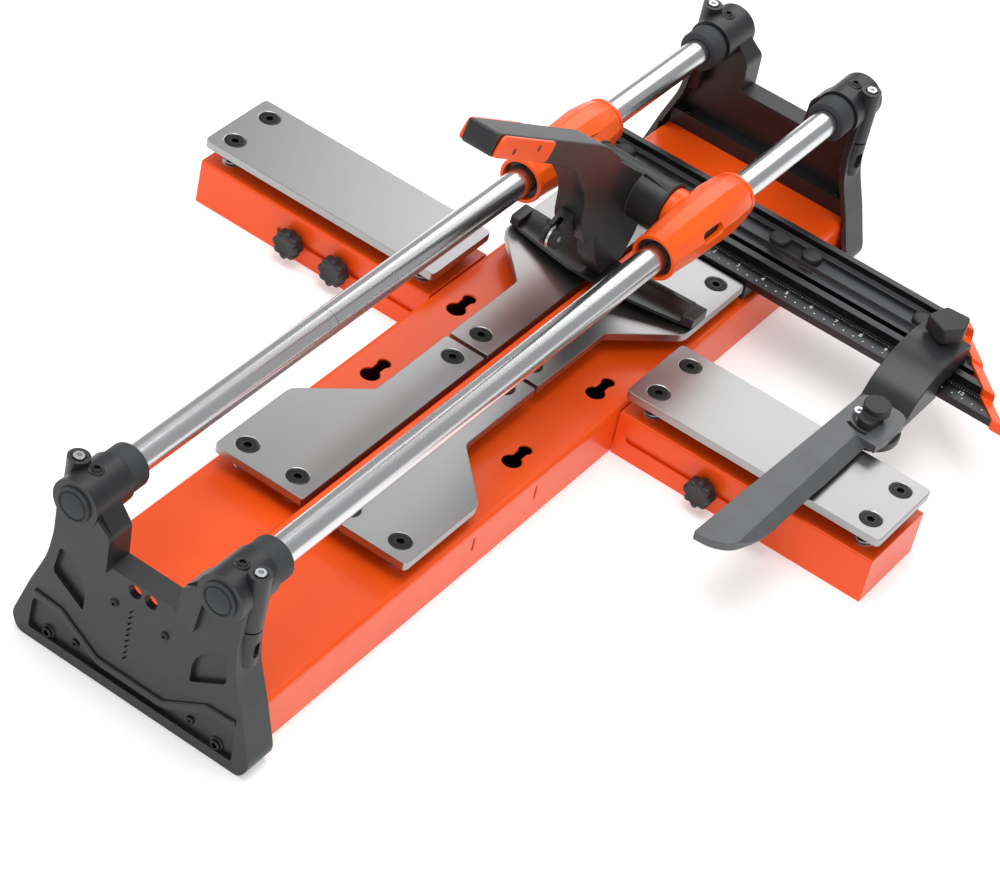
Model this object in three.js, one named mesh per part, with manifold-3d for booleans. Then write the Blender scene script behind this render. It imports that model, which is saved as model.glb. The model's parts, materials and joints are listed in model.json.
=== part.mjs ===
// Manual tile cutter: sprung platform, two side arms, ruler with a swinging stop, lever carriage on two rods.
// Millimetres. Z is up, Y runs along the rods from the front bracket to the rear one, X is to the right.
import * as THREE from "three";
import { mergeVertices } from "three/addons/utils/BufferGeometryUtils.js";
import Module from "manifold-3d";

const wasm = await Module();
wasm.setup();
const { Manifold } = wasm;

// ---- driving sizes ---------------------------------------------------------------------------------------
const gap = 0.3; // between pieces that touch
const slip = 0.5; // between pieces that slide or turn on each other

const bench = { length: 914, width: 199, platformShift: 7 }; // platformShift: plate joint behind the middle
const tray = { height: 47.5, sheet: 2.5, fromSide: 26.8, fromJoint: 61.5 };
const keyhole = { radius: 8.5, slot: 5.8, neck: 4, apart: 19.5 };
const sideSlit = { at: [-154, -66], width: 2.6, from: 22, to: 36 };
const ridge = { width: 7, height: 18.5, front: 325, back: 244 };
const rod = { radius: 12.2, x: 68.2, z: 160.7 };
const plate = { thick: 8, top: 68.6, inner: 6.3, narrow: 46, inset: 4.1, end: 251 };
plate.wideFrom = 152.5; // from the joint between the plates, where the full width starts
plate.narrowTo = 101.5;
plate.joint = 2.25; // half the gap between the front and the rear plates
const screw = { radius: 10.2, depth: 4.2, shank: 3.4, fromEnd: 19, fromJoint: 18.3, fromSide: 19.3 };
const arm = { length: 250, y: 97, width: 86.8, height: 45, sheet: 2.5 };
arm.slot = { from: 14, to: 158, z: 21, height: 7 };
arm.knobs = [92, 142]; // from the start of the arm
arm.screws = { from: 20.8, front: 25, back: 24 };
const rail = { length: 162, sheet: 3, floor: 8 };
const star = { radius: 14, dip: 2.2, thick: 15, lobes: 8, stud: 2.7, studIn: 9 };
const ruler = { front: 253, depth: 74, left: -98, right: 343, bottom: 65.2, scale: 21 };
ruler.mitre = 1.1; // the right end runs back this much for each millimetre of depth
ruler.bolts = { at: [-75, 91, 124.5, 239], radius: 9.3, height: 5, y: 55 };
ruler.cap = { left: 5.5, right: 12, over: 1.6 };
ruler.feet = { from: 66, to: 94 };
const bracket = { depth: 33, wall: 6.5, rim: 5, step: 3, shelf: 64, towerLength: 41 };
bracket.saddle = { z: 118.5, half: 32.5, depth: 22 };
const tower = { wall: 8.5, lug: 9, lugFromFace: 19, lugBottom: 96, slit: 131 };
const bumper = { wall: 6.1, length: 21 };
const cap = { radius: 15, thick: 2.6, proud: 2 };
const clampBolt = { radius: 5.4, height: 4, shank: 3, long: 22, sunk: 3 };
const housing = { front: 108, length: 127, wall: 3 };
const bush = { wall: 5, inset: 5 };
const hub = { y: 178, z: 158, radius: 23, half: 40, axle: 12, boss: 21 };
const lever = { half: 14, web: 9.5, grip: 20 };
const insert = { from: 4, to: 107, thick: 3.1 };
const foot = { half: 96, above: 19.4, clear: 0.9 };
const wheel = { radius: 11, thick: 3, bevel: 1.4, pin: 2.8, y: 54, z: 172 };
const holder = { half: 6.5, round: 10 };
const stop = { x: 271, thick: 8, above: 5.4, pivotY: 168, disc: 26, discThick: 8, blade: 232, half: 23 };
stop.knob = { radius: 12, height: 15, stud: 3.2 };
stop.clamp = { stud: 3, height: 15.8 };

// ---- helpers ---------------------------------------------------------------------------------------------
const X = new THREE.Vector3(1, 0, 0);
const Y = new THREE.Vector3(0, 1, 0);
const Z = new THREE.Vector3(0, 0, 1);

function solid(geometry) {
  const bare = geometry.clone();
  bare.deleteAttribute("normal");
  bare.deleteAttribute("uv");
  const merged = mergeVertices(bare, 1e-4);
  return new Manifold(
    new wasm.Mesh({
      numProp: 3,
      vertProperties: new Float32Array(merged.attributes.position.array),
      triVerts: new Uint32Array(merged.index.array),
    }),
  );
}

// A closed outline, each corner [a, b, radius] rounded by its radius.
function outline(corners, steps = 3) {
  const points = [];
  corners.forEach(([a, b, r = 0], i) => {
    const at = new THREE.Vector2(a, b);
    if (!r) return points.push(at);
    const n = corners.length;
    const before = new THREE.Vector2(...corners[(i + n - 1) % n].slice(0, 2)).sub(at);
    const after = new THREE.Vector2(...corners[(i + 1) % n].slice(0, 2)).sub(at);
    const back = Math.min(r, before.length() * 0.48, after.length() * 0.48);
    const start = before.normalize().multiplyScalar(back).add(at);
    const end = after.normalize().multiplyScalar(back).add(at);
    for (let k = 0; k <= steps; k++) {
      const t = k / steps;
      points.push(
        new THREE.Vector2(
          start.x * (1 - t) ** 2 + 2 * at.x * t * (1 - t) + end.x * t ** 2,
          start.y * (1 - t) ** 2 + 2 * at.y * t * (1 - t) + end.y * t ** 2,
        ),
      );
    }
  });
  return new THREE.Shape(points);
}

function extruded(shape, depth, basis, x, y, z) {
  const g = new THREE.ExtrudeGeometry(shape, { depth, bevelEnabled: false, curveSegments: 10 });
  g.applyMatrix4(new THREE.Matrix4().makeBasis(...basis));
  g.translate(x, y, z);
  return solid(g);
}
// Outlines of (y, z), (x, z) and (x, y) corners, extruded along the third axis.
const alongX = (corners, x0, x1, steps) => extruded(outline(corners, steps), x1 - x0, [Y, Z, X], x0, 0, 0);
const alongY = (corners, y0, y1, steps) =>
  extruded(outline(corners, steps), y1 - y0, [X, Z, Y.clone().negate()], 0, y1, 0);
const alongZ = (corners, z0, z1, steps) => extruded(outline(corners, steps), z1 - z0, [X, Y, Z], 0, 0, z0);

function box(x0, x1, y0, y1, z0, z1) {
  const g = new THREE.BoxGeometry(x1 - x0, y1 - y0, z1 - z0);
  return solid(g.translate((x0 + x1) / 2, (y0 + y1) / 2, (z0 + z1) / 2));
}

// A cylinder or cone from one end to the other of an axis: radius r0 at a0, r1 at a1.
function round(axis, [a0, a1], [r0, r1], x, y, z, sides = 24) {
  const g = new THREE.CylinderGeometry(r1, r0, a1 - a0, sides).translate(0, (a0 + a1) / 2, 0);
  if (axis === "x") g.rotateZ(-Math.PI / 2);
  if (axis === "z") g.rotateX(Math.PI / 2);
  return solid(g.translate(x, y, z));
}
const roundX = (x0, x1, r, y, z, sides) => round("x", [x0, x1], [r, r], 0, y, z, sides);
const roundY = (y0, y1, r, x, z, sides) => round("y", [y0, y1], [r, r], x, 0, z, sides);
const roundZ = (z0, z1, r, x, y, sides) => round("z", [z0, z1], [r, r], x, y, 0, sides);

const join = (...list) => list.reduce((a, b) => a.add(b));
const cut = (body, ...tools) => tools.reduce((a, b) => a.subtract(b), body);
const mirrorX = (body) => body.mirror([1, 0, 0]);

const looks = {
  orange: [0xf2561d, 0.35, 0.0],
  castGrey: [0x3d3e40, 0.55, 0.2],
  black: [0x1b1b1c, 0.5, 0.0],
  rubber: [0x2b2c2e, 0.8, 0.0],
  plateGrey: [0xb4b5b5, 0.4, 0.8],
  chrome: [0xe2e3e4, 0.12, 1.0],
  steel: [0xb9bbbd, 0.35, 1.0],
  anodised: [0x343536, 0.45, 0.6],
};

const group = new THREE.Group();
function piece(name, body, look) {
  const mesh = body.getMesh();
  const geometry = new THREE.BufferGeometry();
  geometry.setAttribute("position", new THREE.BufferAttribute(new Float32Array(mesh.vertProperties), 3));
  geometry.setIndex(new THREE.BufferAttribute(new Uint32Array(mesh.triVerts), 1));
  const [color, roughness, metalness] = looks[look];
  const made = new THREE.Mesh(geometry, new THREE.MeshStandardMaterial({ color, roughness, metalness }));
  made.name = name;
  group.add(made);
}

// ---- bench: everything below is placed from the joint between the front and the rear plates --------------
const middle = -bench.platformShift;
const half = bench.width / 2;
const endFace = bench.length / 2;
const wallFace = endFace - bracket.step; // outer face of a bracket's wall
const wallBack = wallFace - bracket.wall;
const towerIn = endFace - bracket.towerLength;
const toRear = (body) => body.mirror([0, 1, 0]);
const onBench = (body) => body.translate([0, middle, 0]);

// tray
let trayBody = alongY(
  [
    [-half, 0], [-half, tray.height, 6], [half, tray.height, 6], [half, 0],
    [half - tray.sheet, 0], [half - tray.sheet, tray.height - tray.sheet, 4],
    [tray.sheet - half, tray.height - tray.sheet, 4], [tray.sheet - half, 0],
  ],
  middle - wallBack + slip,
  middle + wallBack - slip,
);
const keyX = half - tray.fromSide;
for (const x of [-keyX, keyX])
  for (const y of [-tray.fromJoint, tray.fromJoint]) {
    const low = tray.height - tray.sheet - 1;
    const high = tray.height + 1;
    const front = y - keyhole.radius * 0.75;
    trayBody = cut(
      trayBody,
      roundZ(low, high, keyhole.radius, x, front, 24),
      roundZ(low, high, keyhole.slot, x, front + keyhole.apart, 20),
      box(x - keyhole.neck, x + keyhole.neck, front, front + keyhole.apart, low, high),
    );
  }
for (const y of sideSlit.at)
  trayBody = cut(
    trayBody,
    box(-half - 1, half + 1, y - sideSlit.width / 2, y + sideSlit.width / 2, sideSlit.from, sideSlit.to),
  );
piece("base_tray", trayBody, "orange");

piece(
  "breaking_ridge",
  alongY(
    [
      [-ridge.width / 2, tray.height + gap], [-ridge.width / 2, tray.height + ridge.height, 2],
      [ridge.width / 2, tray.height + ridge.height, 2], [ridge.width / 2, tray.height + gap],
    ],
    -ridge.front,
    ridge.back,
  ),
  "orange",
);

// end brackets: the front one, then its mirror image at the rear
const saddle = bracket.saddle;
const towerRadius = rod.radius + tower.wall + gap;
const lugX = rod.x + rod.radius + clampBolt.shank + 1.6;
const lugTop = rod.z + towerRadius + 2.3;
const footHalf = rod.x + 47.8;
// the outer edge, corner by corner from the foot to the rod, by distance outside the rod
const bracketHalf = [
  [footHalf - 8, 0, 5], [footHalf, 13, 8], [rod.x + 33.8, 59, 6], [rod.x + 21.8, 92, 10],
  [rod.x + 18.8, saddle.z, 6], [rod.x + 19.8, rod.z, 0], [rod.x, rod.z + 9, 0],
  [rod.x - towerRadius, rod.z + 2, 3], [saddle.half + 1.5, rod.z - 13, 4], [saddle.half, saddle.z, 0],
];
const both = (list) => [...list, ...list.map(([x, z, r]) => [-x, z, r]).reverse()];
const inward = (corners, d) =>
  corners.map(([x, z], i) => {
    const n = corners.length;
    const [ax, az] = corners[(i + n - 1) % n];
    const [bx, bz] = corners[(i + 1) % n];
    const u = new THREE.Vector2(x - ax, z - az).normalize();
    const w = new THREE.Vector2(bx - x, bz - z).normalize();
    const bisector = new THREE.Vector2(-u.y - w.y, u.x + w.x).normalize();
    const reach = d / Math.max(0.5, bisector.dot(new THREE.Vector2(-u.y, u.x)));
    return [x + bisector.x * reach, z + bisector.y * reach, 0];
  });
let bracketBody = alongY(both(bracketHalf), -wallFace, -wallBack);
const rimIn = -endFace + bracket.depth;
let rim = cut(
  alongY(both(bracketHalf), -wallBack - 1, rimIn),
  alongY(inward(both(bracketHalf), bracket.rim), -wallBack - 2, rimIn + 1),
  box(-half - 2, half + 2, -wallBack, rimIn + 1, -1, tray.height + 4),
  box(-rod.x + 8, rod.x - 8, -wallFace + saddle.depth, rimIn + 1, 60, 240),
);
bracketBody = join(
  bracketBody,
  rim,
  box(-half + 3, half - 3, -wallBack - 1, -wallBack + 12, tray.height + gap, bracket.shelf),
);
const lugY = -endFace + tower.lugFromFace;
// block that stiffens a tower beside the saddle
const towerBlock = [
  [saddle.half + 0.5, saddle.z - 4], [saddle.half + 1.5, rod.z - 13, 4],
  [rod.x - towerRadius + 2, rod.z - 2, 3],
  [rod.x - towerRadius + 7, rod.z - 8], [saddle.half + 17, saddle.z - 8, 3],
];
for (const side of [-1, 1])
  bracketBody = join(
    bracketBody,
    roundY(-endFace - cap.proud, -towerIn, towerRadius, side * rod.x, rod.z, 32),
    roundZ(tower.lugBottom, lugTop, tower.lug, side * lugX, lugY, 24),
    alongY(
      towerBlock.map(([x, z, c]) => [side * x, z, c]),
      -endFace - 1,
      -wallBack,
    ),
  );
// pocket above the foot
bracketBody = cut(
  bracketBody,
  alongY(
    both([
      [footHalf - 17, 10, 3], [footHalf - 18, 42, 5], [rod.x + 7, 42, 5], [rod.x - 36, 17, 5],
    ]),
    -wallFace - 1,
    -wallFace + 4,
  ),
);
const windowDepth = bracket.wall - 2;
for (const side of [-1, 1]) {
  const x = side * rod.x;
  const outside = side * lugX;
  const archWindow = [
    [rod.x + 11, 107, 4], [rod.x + 15, 80, 4], [rod.x - 17, 60, 3], [rod.x - 17, 84, 10],
    [rod.x - 4, 101, 10],
  ];
  bracketBody = cut(
    bracketBody,
    roundY(-wallBack, -towerIn + 1, rod.radius + gap, x, rod.z, 32),
    roundY(-endFace - cap.proud - 1, -endFace - cap.proud + cap.thick + gap, cap.radius + gap, x, rod.z, 32),
    alongY(archWindow.map(([a, b, c]) => [side * a, b, c]), -wallFace - 1, -wallFace + windowDepth, 5),
    roundY(-wallFace - 1, -wallBack + 1, 6.2, side * 7.6, saddle.z - 8, 20),
    roundZ(lugTop - clampBolt.sunk, lugTop + 1, clampBolt.radius + gap, outside, lugY, 20),
    roundZ(lugTop - clampBolt.long, lugTop, clampBolt.shank + gap, outside, lugY, 12),
    box(
      outside + side * 6 - 11, outside + side * 6 + 11, lugY - tower.lug - 1, lugY + tower.lug + 1,
      tower.slit - 0.8, tower.slit + 0.8,
    ),
    alongX(
      [[lugY - 3, 104, 4], [lugY + 6, 104, 4], [lugY + 6, 120, 4], [lugY - 3, 120, 4]],
      Math.min(outside + side * 4, outside + side * 20),
      Math.max(outside + side * 4, outside + side * 20),
    ),
  );
}
// slanted grille, a little to the left of the middle
const grille = { slots: 9, x: -8, from: 42, pitch: 6 };
for (let i = 0; i < grille.slots; i++) {
  const slot = alongY([[-2.6, -2.6], [-0.8, -2.6], [2.6, 2.6], [0.8, 2.6]], -wallFace - 1, -wallFace + 1.5);
  bracketBody = cut(bracketBody, slot.translate([grille.x, 0, grille.from + i * grille.pitch]));
}
piece("end_bracket_front", onBench(bracketBody), "castGrey");
piece("end_bracket_rear", onBench(toRear(bracketBody)), "castGrey");

const bumperRadius = rod.radius + gap + bumper.wall;
for (const [side, name] of [[-1, "left"], [1, "right"]]) {
  const x = side * rod.x;
  const end = wallBack - gap;
  piece("guide_rod_" + name, onBench(roundY(-end, end, rod.radius, x, rod.z, 32)), "chrome");
  for (const [turn, where] of [[(b) => b, "front"], [toRear, "rear"]]) {
    const inner = -towerIn + gap;
    const ring = cut(
      roundY(inner, inner + bumper.length, bumperRadius, x, rod.z, 32),
      roundY(inner - 1, inner + bumper.length + 1, rod.radius + gap, x, rod.z, 32),
    );
    piece("rod_bumper_" + where + "_" + name, onBench(turn(ring)), "rubber");
    const face = -endFace - cap.proud;
    const disc = join(
      roundY(face, face + cap.thick, cap.radius, x, rod.z, 32),
      roundY(face - 0.8, face + 0.5, cap.radius - 3, x, rod.z, 28),
    );
    piece("socket_cap_" + where + "_" + name, onBench(turn(disc)), "rubber");
    const seat = lugTop - clampBolt.sunk + gap;
    const bolt = cut(
      join(
        roundZ(seat, seat + clampBolt.height, clampBolt.radius, side * lugX, lugY, 20),
        roundZ(seat - clampBolt.long + 4, seat + 1, clampBolt.shank, side * lugX, lugY, 12),
      ),
      roundZ(seat + 1.5, seat + clampBolt.height + 1, 2.9, side * lugX, lugY, 6),
    );
    piece("clamp_bolt_" + where + "_" + name, onBench(turn(bolt)), "steel");
  }
}

// ---- sprung platform -------------------------------------------------------------------------------------
const plateUnder = plate.top - plate.thick;
function screwHole(x, y) {
  const seat = plate.top - screw.depth;
  return join(
    round("z", [seat, plate.top + 0.1], [screw.radius - screw.depth, screw.radius], x, y, 0, 24),
    roundZ(plateUnder - 1, seat + 1, screw.shank, x, y, 12),
  );
}
const plateWide = half - plate.inset;
const centrePlate = cut(
  alongZ(
    [
      [plate.inner, plate.joint, 1.5], [plate.narrow, plate.joint, 1.5], [plate.narrow, plate.narrowTo, 3],
      [plateWide, plate.wideFrom, 6], [plateWide, plate.end, 5], [plate.inner, plate.end, 2],
    ],
    plateUnder,
    plate.top,
  ),
  screwHole(plateWide - screw.fromSide, plate.end - screw.fromEnd),
  screwHole(plate.inner + screw.fromSide, plate.end - screw.fromEnd),
  screwHole((plate.inner + plate.narrow) / 2, plate.joint + screw.fromJoint),
);
piece("plate_rear_right", centrePlate, "plateGrey");
piece("plate_rear_left", mirrorX(centrePlate), "plateGrey");
piece("plate_front_right", toRear(centrePlate), "plateGrey");
piece("plate_front_left", mirrorX(toRear(centrePlate)), "plateGrey");

// ---- side arms -------------------------------------------------------------------------------------------
const armStart = half + gap + slip;
const armEnd = armStart + arm.length;
const [armFront, armBack] = [arm.y - arm.width / 2, arm.y + arm.width / 2];
let armPlate = alongZ(
  [[armStart, armFront, 5], [armEnd, armFront, 5], [armEnd, armBack, 5], [armStart, armBack, 5]],
  plateUnder,
  plate.top,
);
for (const x of [armStart + arm.screws.from, armEnd - screw.fromSide])
  for (const y of [arm.y - arm.screws.front, arm.y + arm.screws.back])
    armPlate = cut(armPlate, screwHole(x, y));

const channel = (y0, y1, z0, z1, sheet, x0, x1) =>
  alongX(
    [
      [y0, z0], [y0, z1, 3], [y1, z1, 3], [y1, z0],
      [y1 - sheet, z0], [y1 - sheet, z1 - sheet], [y0 + sheet, z1 - sheet], [y0 + sheet, z0],
    ],
    x0,
    x1,
  );
const slotY = [armFront - 1, armFront + arm.sheet + 1];
const [slotA, slotB] = [armStart + arm.slot.from, armStart + arm.slot.to];
const armBody = cut(
  join(
    channel(armFront, armBack, 0, arm.height, arm.sheet, armStart, armEnd),
    box(armEnd - arm.sheet, armEnd - 0.01, armFront + 1, armBack - 1, 0, arm.height - 1),
  ),
  box(slotA, slotB, ...slotY, arm.slot.z - arm.slot.height / 2, arm.slot.z + arm.slot.height / 2),
  roundY(...slotY, arm.slot.height / 2, slotA, arm.slot.z, 12),
  roundY(...slotY, arm.slot.height / 2, slotB, arm.slot.z, 12),
);
const railFront = armFront + arm.sheet + slip;
const railBack = armBack - arm.sheet - slip;
let railBody = channel(
  railFront, railBack, rail.floor, arm.height - arm.sheet - slip, rail.sheet,
  half + gap, armStart + rail.length,
);
for (const at of arm.knobs)
  railBody = cut(
    railBody,
    roundY(railFront - 1, railFront + rail.sheet + 1, star.stud + gap, armStart + at, arm.slot.z, 12),
  );

function starKnob(x) {
  const points = [];
  const steps = star.lobes * 5;
  for (let i = 0; i < steps; i++) {
    const turn = (i / steps) * Math.PI * 2;
    const radius = star.radius - (star.dip / 2) * (1 - Math.cos(turn * star.lobes));
    points.push([x + radius * Math.cos(turn), arm.slot.z + radius * Math.sin(turn)]);
  }
  const back = armFront - slip;
  return join(
    alongY(points, back - star.thick, back),
    roundY(back - 1, back + star.studIn, star.stud, x, arm.slot.z, 12),
  );
}
for (const [flip, side] of [[mirrorX, "left"], [(b) => b, "right"]]) {
  piece("side_arm_" + side, flip(armBody), "orange");
  piece("arm_plate_" + side, flip(armPlate), "plateGrey");
  piece("arm_rail_" + side, flip(railBody), "orange");
  piece("star_knob_" + side + "_inner", flip(starKnob(armStart + arm.knobs[0])), "black");
  piece("star_knob_" + side + "_outer", flip(starKnob(armStart + arm.knobs[1])), "black");
}

// ---- ruler -----------------------------------------------------------------------------------------------
const levels = {
  under: ruler.bottom,
  scale: ruler.bottom + 7.5,
  strip: ruler.bottom + 16,
  floor: ruler.bottom + 19.8,
  lip: ruler.bottom + 28.8,
};
const front = ruler.front;
const strip = front + ruler.scale;
const slot = { front: strip + 7.7, back: strip + 14, undercut: 3, lipThick: 3.5, deep: 10 };
const back = front + ruler.depth;
const undercutTop = levels.strip - slot.lipThick;
const slotFloor = levels.strip - slot.deep;
const rulerOutline = [
  [front, levels.under], [front, levels.scale], [strip, levels.scale], [strip, levels.strip],
  [slot.front, levels.strip], [slot.front, undercutTop], [slot.front - slot.undercut, undercutTop],
  [slot.front - slot.undercut, slotFloor], [slot.back + slot.undercut, slotFloor],
  [slot.back + slot.undercut, undercutTop], [slot.back, undercutTop], [slot.back, levels.strip],
  [slot.back + 8, levels.strip], [slot.back + 10.3, levels.floor], [back - 9.5, levels.floor],
  [back - 6.5, levels.floor + 3], [back - 6.5, levels.lip], [back, levels.lip], [back, levels.under],
];
const hollow = [
  [slot.back + 6.5, levels.under + 3], [slot.back + 6.5, levels.strip - 3],
  [slot.back + 11, levels.floor - 3],
  [back - 6, levels.floor - 3], [back - 3, levels.floor - 1], [back - 3, levels.under + 3],
];
// everything to the right of the mitred end, moved out by a distance along the ruler
function beyondMitre(out) {
  const reach = ruler.depth + 20;
  const near = ruler.right + out + ruler.mitre * 10;
  const far = ruler.right + out - ruler.mitre * reach;
  return alongZ(
    [[near, front - 10], [near + 200, front - 10], [near + 200, front + reach], [far, front + reach]],
    levels.under - 10,
    levels.lip + 10,
  );
}
piece(
  "ruler_bar",
  cut(
    alongX(rulerOutline, ruler.left, ruler.right),
    alongX(hollow, ruler.left - 1, ruler.right + 1),
    beyondMitre(0),
  ),
  "anodised",
);
const over = ruler.cap.over;
const capOutline = [
  [front - over, levels.under - over], [front - over, levels.scale + over, 2],
  [strip - over, levels.scale + over], [strip - over, levels.strip + over, 2],
  [slot.back + 7, levels.strip + over], [slot.back + 9.5, levels.floor + over, 2],
  [back - 9, levels.floor + over], [back - 7.5, levels.lip + over, 1],
  [back + over, levels.lip + over, 1], [back + over, levels.under - over],
];
const capFar = ruler.right + ruler.cap.right + 2 * ruler.mitre * over;
const capNear = ruler.right - ruler.mitre * (ruler.depth + 2 * over);
piece(
  "ruler_cap_right",
  cut(alongX(capOutline, capNear, capFar, 2).intersect(beyondMitre(gap)), beyondMitre(gap + ruler.cap.right)),
  "orange",
);
piece("ruler_cap_left", alongX(capOutline, ruler.left - gap - ruler.cap.left, ruler.left - gap, 2), "orange");
for (const [name, from, to] of [
  ["left", -ruler.feet.to, -ruler.feet.from],
  ["right", ruler.feet.from, ruler.feet.to],
])
  piece(
    "ruler_foot_" + name,
    box(from, to, front + 3, back - 8, tray.height + gap, levels.under - gap),
    "black",
  );
ruler.bolts.at.forEach((x, i) => {
  const { radius, height, y } = ruler.bolts;
  const seat = levels.floor + gap;
  piece(
    "ruler_bolt_" + (i + 1),
    join(
      roundZ(seat, seat + height - 1.2, radius, x, front + y, 24),
      round("z", [seat + height - 1.3, seat + height], [radius, radius - 1.4], x, front + y, 0, 24),
    ),
    "black",
  );
});

// ---- swinging stop on the ruler --------------------------------------------------------------------------
const sliderX = stop.x - 2.5;
const pivot = { x: stop.x + 2, y: stop.pivotY };
const clampY = (slot.front + slot.back) / 2;
const bladeUnder = plate.top + stop.above;
const bladeTop = bladeUnder + stop.thick;
const discTop = bladeUnder - slip;
const discUnder = discTop - stop.discThick;
const crown = levels.lip + 9;
const slider = cut(
  join(
    alongX(
      [
        [pivot.y, discUnder], [front - 2.5, discUnder], [front - 2.5, levels.scale + 5],
        [strip - 1, levels.scale + 5], [strip - 1, levels.strip + slip],
        [slot.front + slip, levels.strip + slip], [slot.front + slip, levels.strip - 3],
        [slot.back - slip, levels.strip - 3], [slot.back - slip, levels.strip + slip],
        [slot.back + 7.5, levels.strip + slip], [slot.back + 7.5, levels.floor + 1],
        [slot.back + 11, crown - 5, 5], [front + 17, crown, 10], [front - 16, crown - 3, 12],
        [front - 43, discTop + 14.5, 8], [pivot.y + 29, discTop, 0], [pivot.y, discTop],
      ],
      sliderX - stop.half,
      sliderX + stop.half,
      5,
    ),
    roundZ(discUnder, discTop, stop.disc, pivot.x, pivot.y, 36),
  ),
  roundZ(levels.floor + 1, crown + 7, stop.clamp.stud + gap, sliderX, clampY, 12),
  roundZ(discUnder - 5, discTop + 1, stop.knob.stud + gap, pivot.x, pivot.y, 12),
);
// the blade swings about the pivot; its bench side is bevelled, and an arc slot limits the swing
const tip = pivot.y - stop.blade;
const bladeBack = pivot.y + 24;
const bladeOutline = [
  [stop.x - 21, bladeBack, 14], [stop.x + 25, bladeBack, 14], [stop.x + 25, pivot.y - 14, 8],
  [stop.x + 13, tip + 140, 30], [stop.x + 12, tip + 38, 26], [stop.x + 1, tip + 10, 16],
  [stop.x - 14, tip + 1, 10], [stop.x - 30, tip, 2],
];
const bevel = alongY(
  [[stop.x + 2, bladeTop + 0.2], [stop.x + 32, bladeTop + 0.2], [stop.x + 32, bladeTop - 21]],
  tip - 6,
  pivot.y - 31,
);
const arcSlot = { inner: 22.2, outer: 26.2, from: 238, to: 286, steps: 8 };
function arcPoint(radius, i) {
  const turn = ((arcSlot.from + ((arcSlot.to - arcSlot.from) * i) / arcSlot.steps) * Math.PI) / 180;
  return [pivot.x + radius * Math.cos(turn), pivot.y + radius * Math.sin(turn)];
}
const arc = [];
for (let i = 0; i <= arcSlot.steps; i++) arc.push(arcPoint(arcSlot.inner, i));
for (let i = arcSlot.steps; i >= 0; i--) arc.push(arcPoint(arcSlot.outer, i));
const blade = cut(
  alongZ(bladeOutline, bladeUnder, bladeTop, 6),
  bevel,
  alongZ(arc, bladeUnder - 1, bladeTop + 1),
  roundZ(bladeUnder - 1, bladeTop + 1, stop.knob.stud + gap, pivot.x, pivot.y, 12),
);
piece("stop_slider", slider, "castGrey");
piece("stop_blade", blade, "castGrey");
const clampOutline = [[-16, -8, 2], [6, -18, 2], [18, -2, 2], [13, 16, 2], [-9, 14, 2]];
const clampUnder = crown + 1.2;
piece(
  "stop_clamp",
  join(
    alongZ(
      clampOutline.map(([x, y, c]) => [sliderX + x, clampY + y, c]),
      clampUnder,
      clampUnder + stop.clamp.height,
      2,
    ),
    roundZ(levels.floor + 2, clampUnder + 1, stop.clamp.stud, sliderX, clampY, 12),
  ),
  "black",
);
const wing = [[-10, 2, 3], [-7, -21, 6], [7, -23, 6], [9, 2, 3]];
const { knob } = stop;
piece(
  "stop_wing_knob",
  join(
    roundZ(bladeTop + slip, bladeTop + 8, knob.radius - 3.5, pivot.x, pivot.y, 24),
    roundZ(bladeTop + 6.5, bladeTop + knob.height, knob.radius, pivot.x, pivot.y, 28),
    alongZ(wing.map(([x, y, c]) => [pivot.x + x, pivot.y + y, c]), bladeTop + 1.5, bladeTop + 9),
    roundZ(discUnder + 1, bladeTop + 1, knob.stud, pivot.x, pivot.y, 12),
  ),
  "black",
);

// ---- carriage --------------------------------------------------------------------------------------------
// A body through rings of corners: each ring is [distance along Y, half width, half height].
function faceted(rings, sides, turn, x, z) {
  const positions = [];
  const index = [];
  rings.forEach(([y, w, h]) => {
    for (let i = 0; i < sides; i++) {
      const a = ((i + turn) / sides) * Math.PI * 2;
      positions.push(x + w * Math.cos(a), y, z + h * Math.sin(a));
    }
  });
  const ring = (j, i) => j * sides + (i % sides);
  for (let j = 0; j + 1 < rings.length; j++)
    for (let i = 0; i < sides; i++) {
      index.push(ring(j, i), ring(j + 1, i), ring(j, i + 1));
      index.push(ring(j, i + 1), ring(j + 1, i), ring(j + 1, i + 1));
    }
  const last = rings.length - 1;
  for (let i = 1; i + 1 < sides; i++) {
    index.push(ring(0, 0), ring(0, i), ring(0, i + 1));
    index.push(ring(last, 0), ring(last, i + 1), ring(last, i));
  }
  const g = new THREE.BufferGeometry();
  g.setAttribute("position", new THREE.BufferAttribute(new Float32Array(positions), 3));
  g.setIndex(index);
  return solid(g);
}
const bushRadius = rod.radius + bush.wall;
const rimRadius = bushRadius + gap + housing.wall;
const bossInner = hub.half + slip;
const axleHalf = rod.x - bushRadius - 1;
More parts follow.
